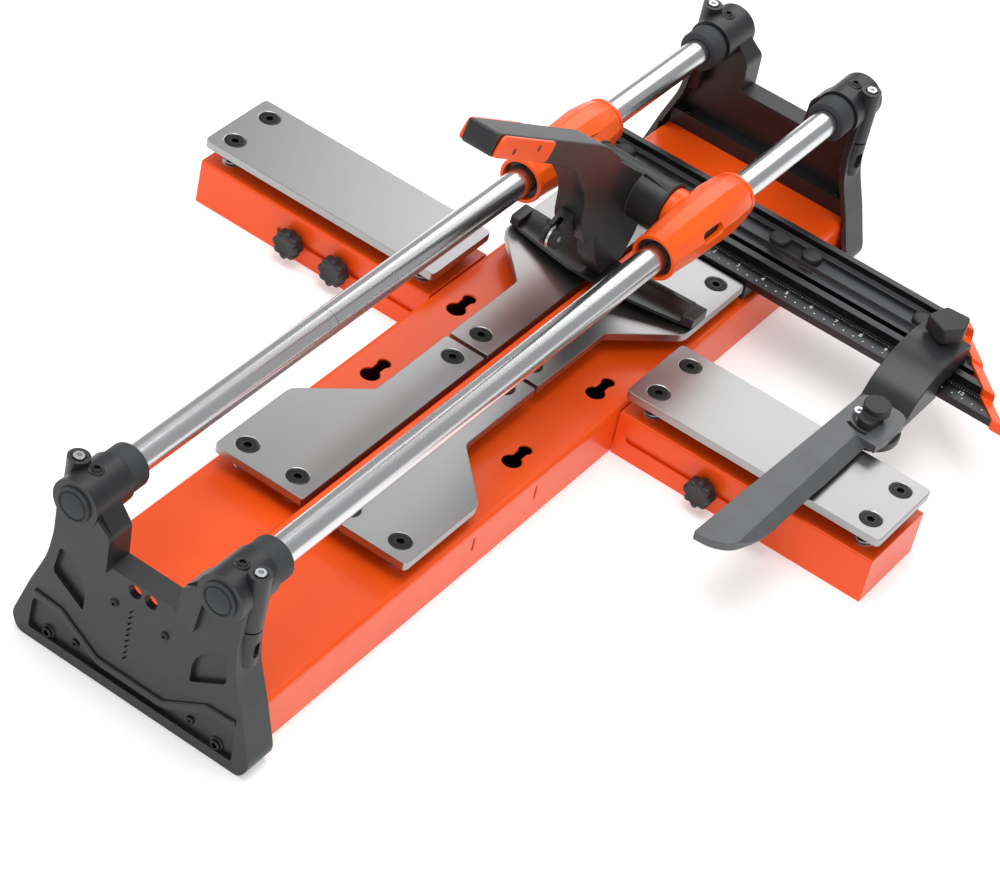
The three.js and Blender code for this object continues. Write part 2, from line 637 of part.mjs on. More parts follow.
// rings of a housing: share of its length, and how far it stands outside its front rim across and upwards
const housingRings = [
  [0, 0, 0], [0.07, 0.6, 0.6], [0.33, 2.8, 3.4], [0.72, 4.4, 5.4], [0.9, 2.6, 3], [1, -0.6, -0.4],
];
const housingEnd = housing.front + housing.length;
const oval = { from: 44, to: 72, low: rod.z + 3, high: rod.z + 12.6, corner: 4.7 }; // outer window
const housingBody = cut(
  join(
    faceted(
      housingRings.map(([t, w, h]) => [housing.front + t * housing.length, rimRadius + w, rimRadius + h]),
      12, 0.5, rod.x, rod.z,
    ),
    roundX(bossInner, rod.x - 8, hub.boss, hub.y, hub.z, 28),
  ),
  roundY(housing.front - 1, housingEnd + 1, bushRadius + gap, rod.x, rod.z, 32),
  roundX(bossInner - 8, axleHalf + gap, hub.axle + gap, hub.y, hub.z, 20),
  alongX(
    [
      [housing.front + oval.from, oval.low, oval.corner], [housing.front + oval.to, oval.low, oval.corner],
      [housing.front + oval.to, oval.high, oval.corner], [housing.front + oval.from, oval.high, oval.corner],
    ],
    rod.x + bushRadius / 2,
    rod.x + rimRadius + 20,
  ),
);
const bushBody = cut(
  roundY(housing.front + bush.inset, housingEnd - 2, bushRadius, rod.x, rod.z, 32),
  roundY(housing.front, housingEnd, rod.radius + slip, rod.x, rod.z, 32),
);
for (const [flip, side] of [[mirrorX, "left"], [(b) => b, "right"]]) {
  piece("bearing_housing_" + side, flip(housingBody), "orange");
  piece("rod_bush_" + side, flip(bushBody), "black");
}
piece("cross_axle", roundX(-axleHalf, axleHalf, hub.axle, hub.y, hub.z, 20), "steel");

// lever: grip, neck, nose, hub boss and leg in one casting, drawn from the side as (y, z)
const footTop = plate.top + foot.above;
const legUnder = footTop + gap + 0.1;
const gripTop = { from: [88, 256], to: [-103.5, 365] };
const along = new THREE.Vector2(gripTop.to[0] - gripTop.from[0], gripTop.to[1] - gripTop.from[1]).normalize();
const below = new THREE.Vector2(-along.y, along.x); // from the grip's top side to its underside
const gripPoint = (fromTip, depth, radius = 0) => [
  gripTop.to[0] - along.x * fromTip + below.x * depth,
  gripTop.to[1] - along.y * fromTip + below.y * depth,
  radius,
];
const leverBody = cut(
  join(
    alongX(
      [
        gripPoint(0, 0, 4), [...gripTop.from, 22], [123, 222, 14], [113, 196, 10], [109, 150, 5],
        [91, 150, 8], [73, 178, 8], [70, 212, 12], [38, 256, 10], gripPoint(120, lever.grip + 1, 8),
        gripPoint(insert.from, lever.grip, 4),
      ],
      -lever.half,
      lever.half,
      5,
    ),
    alongX(
      [
        [98, 232], [122, 221, 10], [152, 197, 12], [172, 182, 8], [hub.y + 20, hub.z, 10], [190, 112, 8],
        [174, legUnder, 2], [141, legUnder, 2], [124, 112, 8], [112, 148, 6], [98, 156],
      ],
      -lever.web,
      lever.web,
      5,
    ),
    roundX(-hub.half, hub.half, hub.radius, hub.y, hub.z, 36),
  ),
  roundX(-hub.half - 1, hub.half + 1, hub.axle + slip, hub.y, hub.z, 24),
);
piece("handle_lever", leverBody, "castGrey");
const insertBody = alongX(
  [
    gripPoint(insert.from + 3, 0.6, 6), gripPoint(insert.to, 0.6, 5),
    gripPoint(insert.to - 3, lever.grip - 1, 5), gripPoint(insert.from, lever.grip - 0.6, 6),
  ],
  lever.half + gap,
  lever.half + gap + insert.thick,
);
piece("grip_insert_right", insertBody, "orange");
piece("grip_insert_left", mirrorX(insertBody), "orange");

const footReach = hub.z - plate.top - foot.clear; // the underside is an arc about the hub
const footSlope = alongY(
  [[20, footTop + 0.2], [foot.half + 2, footTop + 0.2], [foot.half + 2, footTop - 8]],
  120,
  200,
);
const footBody = cut(
  alongZ(
    both([[12, 134, 4], [foot.half, 160, 4], [foot.half, 184, 3], [12, 168, 4]]),
    plate.top,
    footTop,
    2,
  ).intersect(roundX(-foot.half - 2, foot.half + 2, footReach, hub.y, hub.z, 96)),
  footSlope,
  mirrorX(footSlope),
);
piece("breaker_foot", footBody, "black");

// the holder is a fork on the front of the nose
const fork = wheel.thick / 2 + gap + slip;
const tabOutline = [
  [72, 190, 2], [wheel.y - 2, wheel.z + 9, 5], [wheel.y + 4, wheel.z - 9, 5], [81, 163, 2], [72.6, 178.5, 2],
];
const holderBody = cut(
  join(
    alongX(tabOutline, -holder.half, holder.half),
    roundX(-holder.half, holder.half, holder.round, wheel.y, wheel.z, 24),
  ),
  box(-fork, fork, wheel.y - 20, wheel.y + wheel.radius + 1, wheel.z - 20, wheel.z + wheel.radius + 3),
  roundX(-holder.half - 1, holder.half + 1, wheel.pin + gap, wheel.y, wheel.z, 16),
  leverBody.translate([0, -gap, 0]),
  leverBody,
);
piece("wheel_holder", holderBody, "castGrey");
piece(
  "wheel_pin",
  roundX(-holder.half - 0.6, holder.half + 0.6, wheel.pin, wheel.y, wheel.z, 16),
  "steel",
);
const edge = wheel.radius - wheel.bevel;
piece(
  "cutting_wheel",
  cut(
    join(
      round("x", [-wheel.thick / 2, 0], [edge, wheel.radius], 0, wheel.y, wheel.z, 36),
      round("x", [0, wheel.thick / 2], [wheel.radius, edge], 0, wheel.y, wheel.z, 36),
    ),
    roundX(-4, 4, wheel.pin + gap, wheel.y, wheel.z, 16),
  ),
  "steel",
);

group.position.y = bench.platformShift;
export default group;
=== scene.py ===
# %% [markdown]
# # A manual tile cutter, dressed around its solids
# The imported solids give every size, place and joint. This lesson keeps them as the frame, and builds the
# visible pieces over them: softened edges, turned knobs, coiled springs, a printed scale and real finishes.
# The frame has to be loaded first, because every later step measures it.

# %% Load the frame
import json
import math

import bmesh
import bpy
from mathutils import Matrix, Vector

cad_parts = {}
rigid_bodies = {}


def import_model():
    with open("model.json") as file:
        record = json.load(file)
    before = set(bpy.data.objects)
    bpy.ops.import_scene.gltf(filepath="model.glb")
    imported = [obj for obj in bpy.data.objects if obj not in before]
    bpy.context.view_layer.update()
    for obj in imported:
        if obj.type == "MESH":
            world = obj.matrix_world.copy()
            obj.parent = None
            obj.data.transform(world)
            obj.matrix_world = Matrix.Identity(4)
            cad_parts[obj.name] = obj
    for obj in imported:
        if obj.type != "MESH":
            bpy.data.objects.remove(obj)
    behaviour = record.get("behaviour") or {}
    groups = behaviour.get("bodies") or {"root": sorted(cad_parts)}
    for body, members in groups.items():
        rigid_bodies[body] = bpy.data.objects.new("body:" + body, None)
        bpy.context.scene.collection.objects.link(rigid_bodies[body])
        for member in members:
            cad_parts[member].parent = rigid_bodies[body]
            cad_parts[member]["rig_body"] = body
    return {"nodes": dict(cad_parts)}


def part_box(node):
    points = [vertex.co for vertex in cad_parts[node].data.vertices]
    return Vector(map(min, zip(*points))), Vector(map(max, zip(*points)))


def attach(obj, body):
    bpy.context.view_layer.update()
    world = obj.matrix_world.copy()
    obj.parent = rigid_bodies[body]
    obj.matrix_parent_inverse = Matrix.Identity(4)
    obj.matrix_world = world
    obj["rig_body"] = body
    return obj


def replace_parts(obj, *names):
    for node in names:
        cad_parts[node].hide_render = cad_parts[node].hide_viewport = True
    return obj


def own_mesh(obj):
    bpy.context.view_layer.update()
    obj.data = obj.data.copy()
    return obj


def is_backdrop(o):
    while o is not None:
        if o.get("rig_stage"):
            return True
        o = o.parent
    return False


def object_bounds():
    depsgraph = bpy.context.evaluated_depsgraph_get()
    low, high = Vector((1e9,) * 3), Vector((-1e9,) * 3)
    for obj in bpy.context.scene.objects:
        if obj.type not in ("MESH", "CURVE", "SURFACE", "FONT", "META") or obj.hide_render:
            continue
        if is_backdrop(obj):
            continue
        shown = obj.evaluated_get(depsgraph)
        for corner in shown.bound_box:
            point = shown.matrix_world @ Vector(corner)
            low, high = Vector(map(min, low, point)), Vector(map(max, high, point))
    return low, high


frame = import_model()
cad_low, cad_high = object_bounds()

MM = 0.001

# %% [markdown]
# ## The studio
# A tool like this is shot from above on a white sweep, with large soft lights. A plain floor of pale matt
# paint catches a faint shadow, and a bright room round it fills every side. The view is a long lens from above
# and to the right, so that both rods run away from the eye.

# %% Camera
def looking_back(azimuth, elevation, roll):
    """The camera's right, up and backward directions, for a view turned by three angles in degrees."""
    a, e, r = (math.radians(v) for v in (azimuth, elevation, roll))
    back = Vector((math.sin(a) * math.cos(e), -math.cos(a) * math.cos(e), math.sin(e)))
    level = Vector((math.cos(a), math.sin(a), 0))
    right = level * math.cos(r) + back.cross(level) * math.sin(r)
    return right, back.cross(right), back


camera_data = bpy.data.cameras.new("studio_camera")
camera_data.sensor_width = 36
camera_data.lens = 127.93
camera_data.clip_end = 50
camera = bpy.data.objects.new("studio_camera", camera_data)
bpy.context.scene.collection.objects.link(camera)
right, up, back = looking_back(26.364, 40.485, 13.644)
camera.matrix_world = Matrix.Translation(Vector((1.03225, -2.02529, 1.9279))) @ Matrix(
    (right, up, back)
).transposed().to_4x4()
bpy.context.scene.camera = camera
print("camera at", tuple(round(v, 3) for v in camera.location))

# %% [markdown]
# Colours are written as a paint maker gives them, as sRGB, and turned into the linear values that light adds
# up in. One small helper adds a node and joins it to the others.

# %% Colours and nodes
def linear(hexadecimal, alpha=1.0):
    """An sRGB colour such as "F2561D" as the linear values that a shader takes."""
    parts = [int(hexadecimal[i : i + 2], 16) / 255 for i in (0, 2, 4)]
    return (*[c / 12.92 if c <= 0.04045 else ((c + 0.055) / 1.055) ** 2.4 for c in parts], alpha)


def add(tree, kind, inputs=(), **settings):
    """Adds a node, sets its properties, and gives each named input a value or a link from another socket."""
    made = tree.nodes.new(kind)
    for key, value in settings.items():
        setattr(made, key, value)
    for key, value in dict(inputs).items():
        if isinstance(value, bpy.types.NodeSocket):
            tree.links.new(value, made.inputs[key])
        else:
            made.inputs[key].default_value = value
    return made


# %% [markdown]
# Five area lights stand round the tool. The overhead one and the one at the back are the strongest, because
# the chromed rods and the flat plates mirror them towards the eye. The tone mapping stays plain, so that the
# paint keeps its colour.

# %% Light and floor
scene = bpy.context.scene
scene.view_settings.view_transform = "Standard"
world = bpy.data.worlds.new("bright_room")
world.use_nodes = True
world.node_tree.nodes["Background"].inputs["Color"].default_value = linear("FBFBFC")
world.node_tree.nodes["Background"].inputs["Strength"].default_value = 0.42
scene.world = world


def softbox(name, place, size, power, target=(0, 0, 0.05)):
    light = bpy.data.lights.new(name, "AREA")
    light.shape = "RECTANGLE"
    light.size, light.size_y = size
    light.energy = power
    lamp = bpy.data.objects.new(name, light)
    lamp.location = place
    lamp.rotation_euler = (Vector(place) - Vector(target)).to_track_quat("Z", "Y").to_euler()
    scene.collection.objects.link(lamp)
    return lamp


softbox("overhead_softbox", (0.1, -0.1, 2.4), (1.5, 2.2), 42)
softbox("left_softbox", (-2.2, -0.6, 1.5), (0.9, 2.0), 18)
softbox("front_softbox", (0.9, -2.6, 1.1), (2.0, 0.9), 8)
softbox("right_softbox", (2.4, -0.6, 1.0), (1.0, 2.0), 7)
softbox("back_softbox", (-0.5, 2.9, 2.1), (2.6, 1.2), 25)

floor_mesh = bpy.data.meshes.new("floor")
reach = 12
floor_mesh.from_pydata(
    [(-reach, -reach, 0), (reach, -reach, 0), (reach, reach, 0), (-reach, reach, 0)], [], [(0, 1, 2, 3)]
)
floor = bpy.data.objects.new("floor", floor_mesh)
floor.location.z = cad_low.z - 0.3 * MM
scene.collection.objects.link(floor)
floor_paint = bpy.data.materials.new("matt_white_floor")
floor_paint.use_nodes = True
floor_shader = floor_paint.node_tree.nodes["Principled BSDF"]
floor_shader.inputs["Base Color"].default_value = linear("E8E8E8")
floor_shader.inputs["Roughness"].default_value = 0.9
floor_shader.inputs["Specular IOR Level"].default_value = 0.1
floor_shader.inputs["Emission Color"].default_value = linear("FFFFFF")
floor_shader.inputs["Emission Strength"].default_value = 0.34
floor.data.materials.append(floor_paint)
floor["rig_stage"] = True

print("floor at", round(floor.location.z / MM, 2), "mm")

# %% [markdown]
# The floor glows a little, and that glow would come up through the keyholes. A matt black card inside the
# tray's hollow stops it. The card is painted shade: it stands in for the shade under the tray, so that the
# keyholes read as dark openings.

# %% Painted shade card under the tray
# The matt black card is painted shade. It stands in for the shade inside the tray's hollow.
card_mesh = bpy.data.meshes.new("painted_shade_card")
card_x, card_y = 99 * MM, 446 * MM
card_mesh.from_pydata(
    [(-card_x, -card_y, 0), (card_x, -card_y, 0), (card_x, card_y, 0), (-card_x, card_y, 0)], [], [(0, 1, 2, 3)]
)
card = bpy.data.objects.new("painted_shade_card", card_mesh)
card.location.z = floor.location.z + 0.2 * MM
scene.collection.objects.link(card)
shade_card_paint = bpy.data.materials.new("matt_painted_shade_card")
shade_card_paint.use_nodes = True
shade_card_paint.node_tree.nodes["Principled BSDF"].inputs["Base Color"].default_value = linear("101010")
shade_card_paint.node_tree.nodes["Principled BSDF"].inputs["Roughness"].default_value = 0.9
card.data.materials.append(shade_card_paint)
card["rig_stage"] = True
print("card:", round(2 * card_x / MM), "by", round(2 * card_y / MM), "mm")

# %% [markdown]
# ## Finishes
# Every finish reads object coordinates, which are metres on the real tool. A pattern of a size s in metres
# has a noise scale of 1/s, so grain and brush marks keep their true size on every piece.

# %% A base for every finish
def finish(name, base, metallic, roughness):
    """A material with its plain values set on the shader; the patterns come after."""
    material = bpy.data.materials.new(name)
    material.use_nodes = True
    tree = material.node_tree
    shader = tree.nodes["Principled BSDF"]
    shader.inputs["Base Color"].default_value = linear(base)
    shader.inputs["Metallic"].default_value = metallic
    shader.inputs["Roughness"].default_value = roughness
    return material, tree, shader


def per_metre(size_mm):
    """The scale of a noise whose marks are this many millimetres wide."""
    return 1 / (size_mm * MM)


# %% [markdown]
# Powder coat is plastic powder that melts on the hot steel. It flows level, but keeps a faint orange peel of
# about 2 mm, and the film is a little thicker and deeper in colour in some places than in others. A thin gloss
# coat mirrors the lights, and the low specular under it keeps the colour strong.

# %% Orange powder coat
def powder_coat(name, base, deeper, peel_mm=2.2, roughness=0.34):
    material, tree, shader = finish(name, base, 0.0, roughness)
    place = add(tree, "ShaderNodeTexCoord")
    film = add(
        tree, "ShaderNodeTexNoise",
        {"Vector": place.outputs["Object"], "Scale": per_metre(70), "Detail": 3.0, "Roughness": 0.5},
    )
    ramp = add(tree, "ShaderNodeValToRGB", {"Fac": film.outputs["Fac"]})
    ramp.color_ramp.elements[0].position, ramp.color_ramp.elements[0].color = 0.3, linear(deeper)
    ramp.color_ramp.elements[1].position, ramp.color_ramp.elements[1].color = 0.7, linear(base)
    tree.links.new(ramp.outputs["Color"], shader.inputs["Base Color"])
    peel = add(
        tree, "ShaderNodeTexNoise",
        {"Vector": place.outputs["Object"], "Scale": per_metre(peel_mm), "Detail": 2.0},
    )
    bump = add(
        tree, "ShaderNodeBump",
        {"Height": peel.outputs["Fac"], "Strength": 0.12, "Distance": 0.25 * MM},
    )
    tree.links.new(bump.outputs["Normal"], shader.inputs["Normal"])
    shader.inputs["Specular IOR Level"].default_value = 0.3
    shader.inputs["Coat Weight"].default_value = 0.2
    shader.inputs["Coat Roughness"].default_value = 0.2
    return material


orange_coat = powder_coat("orange_powder_coat", "F5560F", "EF4E0C")
orange_casting = powder_coat("orange_painted_casting", "FA5F12", "F5560E", peel_mm=3.0, roughness=0.28)
print("paints:", orange_coat.name, orange_casting.name)

# %% [markdown]
# The brackets, the lever and the stop are die castings: aluminium shot into a steel mould, then sprayed with a
# satin dark grey. The mould's fine texture of about 1 mm breaks the gloss, and the film is a touch lighter
# where it is thin.

# %% Painted die casting
def die_casting(name, base, lighter, grain_mm=0.9, roughness=0.46):
    material, tree, shader = finish(name, base, 0.0, roughness)
    place = add(tree, "ShaderNodeTexCoord")
    film = add(
        tree, "ShaderNodeTexNoise",
        {"Vector": place.outputs["Object"], "Scale": per_metre(28), "Detail": 4.0, "Roughness": 0.6},
    )
    ramp = add(tree, "ShaderNodeValToRGB", {"Fac": film.outputs["Fac"]})
    ramp.color_ramp.elements[0].position, ramp.color_ramp.elements[0].color = 0.35, linear(base)
    ramp.color_ramp.elements[1].position, ramp.color_ramp.elements[1].color = 0.75, linear(lighter)
    tree.links.new(ramp.outputs["Color"], shader.inputs["Base Color"])
    grain = add(
        tree, "ShaderNodeTexNoise",
        {"Vector": place.outputs["Object"], "Scale": per_metre(grain_mm), "Detail": 3.0},
    )
    gloss = add(
        tree, "ShaderNodeMapRange",
        {"Value": grain.outputs["Fac"], "To Min": roughness - 0.07, "To Max": roughness + 0.09},
    )
    tree.links.new(gloss.outputs["Result"], shader.inputs["Roughness"])
    bump = add(
        tree, "ShaderNodeBump",
        {"Height": grain.outputs["Fac"], "Strength": 0.22, "Distance": 0.12 * MM},
    )
    tree.links.new(bump.outputs["Normal"], shader.inputs["Normal"])
    return material


dark_casting = die_casting("dark_grey_die_casting", "1F2022", "27282A", roughness=0.4)
stop_casting = die_casting("stop_die_casting", "1E1F21", "262729", roughness=0.36)
blade_casting = die_casting("stop_blade_casting", "505153", "585A5C", roughness=0.34)

# %% [markdown]
# The plates are steel strip, belt-ground lengthwise and clear-plated. The belt leaves hair lines about 0.3 mm
# apart; they are drawn 0.7 mm apart so that they still show from two metres. The rods are ground and
# hard-chromed, so their lines run round them and hardly show.

# %% Bare metals
def ground_metal(name, base, roughness, spread, line_mm, stretch, strength):
    """Metal with polishing lines, which run along the axis where stretch is small."""
    material, tree, shader = finish(name, base, 1.0, roughness)
    place = add(tree, "ShaderNodeTexCoord")
    drawn = add(
        tree, "ShaderNodeMapping", {"Vector": place.outputs["Object"], "Scale": stretch},
    )
    lines = add(
        tree, "ShaderNodeTexNoise",
        {"Vector": drawn.outputs["Vector"], "Scale": per_metre(line_mm), "Detail": 4.0, "Roughness": 0.65},
    )
    gloss = add(
        tree, "ShaderNodeMapRange",
        {"Value": lines.outputs["Fac"], "To Min": roughness - spread, "To Max": roughness + spread},
    )
    tree.links.new(gloss.outputs["Result"], shader.inputs["Roughness"])
    if strength:
        bump = add(
            tree, "ShaderNodeBump",
            {"Height": lines.outputs["Fac"], "Strength": strength, "Distance": 0.05 * MM},
        )
        tree.links.new(bump.outputs["Normal"], shader.inputs["Normal"])
    return material


ground_steel = ground_metal("belt_ground_steel", "A4A4A4", 0.34, 0.07, 0.7, (0.012, 1, 1), 0.15)
hard_chrome = ground_metal("hard_chromed_steel", "DCDDDE", 0.24, 0.006, 1.2, (1, 0.3, 1), 0)
zinc_plate = ground_metal("bright_zinc_plate", "D8DADC", 0.28, 0.08, 0.8, (1, 1, 1), 0.1)
spring_steel = ground_metal("spring_steel", "C4C6C8", 0.25, 0.06, 0.6, (1, 1, 1), 0.1)
black_oxide = ground_metal("black_oxide_steel", "3A3B3C", 0.42, 0.08, 0.6, (1, 1, 1), 0.15)
anodised = ground_metal("black_anodised_aluminium", "444547", 0.36, 0.07, 0.8, (0.01, 1, 1), 0.18)

# %% [markdown]
# The knobs, caps and feet are moulded nylon with a spark-eroded grain, the bumpers are rubber, and the grip
# inserts and ruler ends are glossy ABS. All three are plastics, so they are not metallic and keep an IOR near
# 1.5; only the gloss and the grain tell them apart.

# %% Moulded plastics and rubber
def moulding(name, base, worn, roughness, grain_mm, strength):
    material, tree, shader = finish(name, base, 0.0, roughness)
    shader.inputs["IOR"].default_value = 1.5
    place = add(tree, "ShaderNodeTexCoord")
    handled = add(
        tree, "ShaderNodeTexNoise",
        {"Vector": place.outputs["Object"], "Scale": per_metre(16), "Detail": 3.0},
    )
    ramp = add(tree, "ShaderNodeValToRGB", {"Fac": handled.outputs["Fac"]})
    ramp.color_ramp.elements[0].position, ramp.color_ramp.elements[0].color = 0.4, linear(base)
    ramp.color_ramp.elements[1].position, ramp.color_ramp.elements[1].color = 0.8, linear(worn)
    tree.links.new(ramp.outputs["Color"], shader.inputs["Base Color"])
    grain = add(
        tree, "ShaderNodeTexNoise",
        {"Vector": place.outputs["Object"], "Scale": per_metre(grain_mm), "Detail": 2.0},
    )
    bump = add(
        tree, "ShaderNodeBump",
        {"Height": grain.outputs["Fac"], "Strength": strength, "Distance": 0.1 * MM},
    )
    tree.links.new(bump.outputs["Normal"], shader.inputs["Normal"])
    return material


nylon = moulding("black_nylon", "1F2021", "262728", 0.5, 0.8, 0.25)
foot_nylon = moulding("glossy_black_nylon", "1E1F21", "26272A", 0.3, 1.0, 0.12)
rubber = moulding("bumper_rubber", "2E3033", "36383B", 0.72, 1.0, 0.3)
orange_abs = moulding("orange_abs", "FA5512", "F45A18", 0.3, 1.6, 0.08)
# A dark red copy of the orange ABS, used as painted shade for the inside of the grip's pin holes.
painted_shade_abs = moulding("painted_shade_orange_abs", "7E1F08", "701A06", 0.6, 1.6, 0.08)
white_print = moulding("white_print", "E9E9E6", "DCDCD8", 0.6, 0.6, 0.1)
print("finishes:", len(bpy.data.materials))

# %% [markdown]
# ## Making pieces
# Two ways cover nearly everything. A casting or a folded sheet starts from its solid: the facets are merged,
# flat areas dissolved, and every sharp edge gets a small round, because no real edge is a knife. Anything that
# was turned on a lathe is spun from rings, which gives clean round walls.

# %% Put a piece on its body
def put(name, mesh, material, body, place=None, sharp=35):
    """An object with this mesh, at this place, which moves with one of the frame's bodies."""
    piece = bpy.data.objects.new(name, mesh)
    scene.collection.objects.link(piece)
    if not mesh.materials:
        mesh.materials.append(material)
        mesh.polygons.foreach_set("use_smooth", [True] * len(mesh.polygons))
        if sharp:
            mesh.set_sharp_from_angle(angle=math.radians(sharp))
    piece.matrix_world = place or Matrix.Identity(4)
    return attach(piece, body)


def body_of(node):
    return frame["nodes"][node]["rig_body"]


def middle(node):
    low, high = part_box(node)
    return (low + high) / 2


# %% [markdown]
# The tiny edges of the solids catch no light, so every sharp edge is rounded. The end brackets have edges
# closer together than the round is wide, so there it is clamped to what fits.

# %% Dress a solid
def dressed(node, material, edge_mm, suffix="_made", from_angle=32, clamped=False):
    """The solid with its facets merged and its edges rounded, in place of the plain one."""
    shape = bmesh.new()
    shape.from_mesh(frame["nodes"][node].data)
    bmesh.ops.remove_doubles(shape, verts=shape.verts, dist=0.02 * MM)
    bmesh.ops.dissolve_limit(
        shape, angle_limit=math.radians(0.7), verts=shape.verts, edges=shape.edges
    )
    mesh = bpy.data.meshes.new(node + suffix)
    shape.to_mesh(mesh)
    shape.free()
    piece = put(node + suffix, mesh, material, body_of(node), sharp=None)
    rounding = piece.modifiers.new("rounded_edges", "BEVEL")
    rounding.width = edge_mm * MM
    rounding.segments = 2
    rounding.limit_method = "ANGLE"
    rounding.angle_limit = math.radians(from_angle)
    rounding.use_clamp_overlap = clamped
    flat = piece.modifiers.new("flat_faces", "WEIGHTED_NORMAL")
    flat.keep_sharp = True
    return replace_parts(piece, node)


# %% [markdown]
# A turned piece is a stack of rings. A radius may change with the angle, which makes a hexagon socket or a
# lobed knob out of the same stack.

# %% Spin a turned piece
def spun(name, rings, sides=48, closed=False):
    """A mesh from rings of (radius, height) in mm; a radius may be a function of the angle."""
    shape = bmesh.new()
    loops = []
    for radius, height in rings:
        loop = []
        for i in range(sides):
            turn = 2 * math.pi * i / sides
            r = (radius(turn) if callable(radius) else radius) * MM
            loop.append(shape.verts.new((r * math.cos(turn), r * math.sin(turn), height * MM)))
        loops.append(loop)
    for low, high in zip(loops, loops[1:] + (loops[:1] if closed else [])):
        for i in range(sides):
            j = (i + 1) % sides
            shape.faces.new((low[i], low[j], high[j], high[i]))
    if not closed:
        shape.faces.new(loops[0])
        shape.faces.new(loops[-1])
    bmesh.ops.recalc_face_normals(shape, faces=shape.faces)
    mesh = bpy.data.meshes.new(name)
    shape.to_mesh(mesh)
    shape.free()
    return mesh


def hexagon(across_flats):
    return lambda turn: across_flats / 2 / math.cos((turn + math.pi / 6) % (math.pi / 3) - math.pi / 6)


def at(x, y, z, axis="z"):
    """A place in metres for a spun piece whose own height runs along this axis."""
    turned = {
        "z": Matrix.Identity(4),
        "x": Matrix.Rotation(math.pi / 2, 4, "Y"),
        "-x": Matrix.Rotation(-math.pi / 2, 4, "Y"),
        "y": Matrix.Rotation(-math.pi / 2, 4, "X"),
        "-y": Matrix.Rotation(math.pi / 2, 4, "X"),
    }[axis]
    return Matrix.Translation(Vector((x, y, z))) @ turned


# %% [markdown]
# Flat pieces such as ribs, webs and scale marks are an outline with a thickness.

# %% Extrude an outline
def slab(name, corners, thickness):
    """A closed plate from (a, b) corners in metres, drawn in the XY plane and raised along Z."""
    shape = bmesh.new()
    low = [shape.verts.new((a, b, 0)) for a, b in corners]
    high = [shape.verts.new((a, b, thickness)) for a, b in corners]
    shape.faces.new(low)
    shape.faces.new(high)
    for i in range(len(corners)):
        j = (i + 1) % len(corners)
        shape.faces.new((low[i], low[j], high[j], high[i]))
    bmesh.ops.recalc_face_normals(shape, faces=shape.faces)
    mesh = bpy.data.meshes.new(name)
    shape.to_mesh(mesh)
    shape.free()
    return mesh


def rounded(piece, edge_mm, from_angle=32, segments=2):
    """Rounds the sharp edges of a built piece and keeps its flats flat."""
    rounding = piece.modifiers.new("rounded_edges", "BEVEL")
    rounding.width = edge_mm * MM
    rounding.segments = segments
    rounding.limit_method = "ANGLE"
    rounding.angle_limit = math.radians(from_angle)
    piece.modifiers.new("flat_faces", "WEIGHTED_NORMAL").keep_sharp = True
    return piece


# %% [markdown]
# ## The bench
# A folded steel tray carries everything. Its edges have the bend radius of 2.5 mm sheet, so they get the
# largest round. The thin breaking ridge stands up along the middle: the scored tile snaps over it.

# %% Tray and ridge
dressed("base_tray", orange_coat, 0.9)
dressed("breaking_ridge", orange_coat, 0.8)
for side in ("left", "right"):
    dressed("side_arm_" + side, orange_coat, 0.6)
    dressed("arm_rail_" + side, orange_coat, 0.5)
print("folded steel pieces:", 6)

# %% [markdown]
# ## End brackets
# Each bracket is one big casting with two round sockets for the rods. The castings are dressed from their
# solids, and the small things are added: a raised rib that follows the pocket, bosses and screws in the pocket,
# hex screws beside the saddle, and a grub screw on top of each socket that pins the rod.

# %% Bracket castings
for end in ("front", "rear"):
    dressed(f"end_bracket_{end}", dark_casting, 0.7, from_angle=34, clamped=True)

rod_low, rod_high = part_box("guide_rod_right")
rod_x, rod_z = middle("guide_rod_right").x, middle("guide_rod_right").z
rod_radius = (rod_high.z - rod_low.z) / 2
print("rods: radius", round(rod_radius / MM, 1), "at x", round(rod_x / MM, 1), "z", round(rod_z / MM, 1))

# %% [markdown]
# The screws are short turned pieces with a hexagon socket sunk into the head. The web joins each clamp bolt's
# lug to the round socket beside it.

# %% Screws of the brackets
socket_screw = spun(
    "socket_screw",
    [(4.6, -1), (4.6, 2.4), (4.2, 2.9), (hexagon(4.2), 2.9), (hexagon(4.0), 0.6)],
)
pan_screw = spun(
    "pan_screw", [(3.6, -1), (3.6, 0.8), (3.0, 1.7), (1.9, 2.1), (hexagon(2.6), 2.1), (hexagon(2.4), 0.8)]
)
grub_screw = spun(
    "grub_screw", [(4.4, -2), (4.4, 2.2), (3.8, 2.9), (hexagon(4.8), 2.9), (hexagon(4.6), -1.0)]
)
collar = spun("collar", [(6.4, -1), (6.2, 0.8), (5.4, 1.5), (4.5, 1.5), (4.5, -1)], closed=True)

